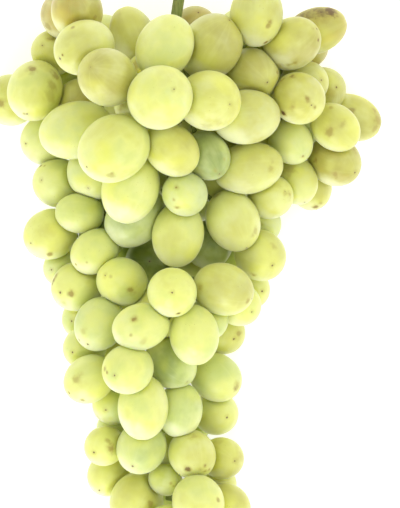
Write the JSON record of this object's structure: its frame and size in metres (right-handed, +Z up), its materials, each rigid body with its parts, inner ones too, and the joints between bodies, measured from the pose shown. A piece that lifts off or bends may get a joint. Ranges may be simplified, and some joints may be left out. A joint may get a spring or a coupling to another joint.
{
  "type": "bunch of grapes",
  "caption": "Cut bunch of plump white table grapes lying on its back, tapering from broad shoulders to a narrow tail, on one green branching stem.",
  "frame": {"origin": "middle of the bunch's box, on the surface that it lies on", "axes": "+X across the bunch, +Y from the tail to the cut end of the stem, +Z up from the surface"},
  "size_m": [0.1612, 0.2772, 0.0997],
  "materials": {
    "grape_skin": "satin waxy skin with a pale bloom, translucent flesh below",
    "stem": "matt green bark, browner towards the cut end"
  },
  "bodies": {
    "root": {"berries_01": "grape_skin", "berries_02": "grape_skin", "berries_03": "grape_skin", "berries_04": "grape_skin", "berries_05": "grape_skin", "berries_06": "grape_skin", "berries_07": "grape_skin", "berries_08": "grape_skin", "berries_09": "grape_skin", "berries_10": "grape_skin", "berries_11": "grape_skin", "berries_12": "grape_skin", "berries_13": "grape_skin", "berries_14": "grape_skin", "berries_15": "grape_skin", "berries_16": "grape_skin", "berries_17": "grape_skin", "berries_18": "grape_skin", "berries_19": "grape_skin", "berries_20": "grape_skin", "berries_21": "grape_skin", "berries_22": "grape_skin", "berries_23": "grape_skin", "berries_24": "grape_skin", "berries_25": "grape_skin", "berries_26": "grape_skin", "berries_27": "grape_skin", "berries_28": "grape_skin", "berries_29": "grape_skin", "berries_30": "grape_skin", "berries_31": "grape_skin", "stem": "stem"}
  },
  "joints": []
}
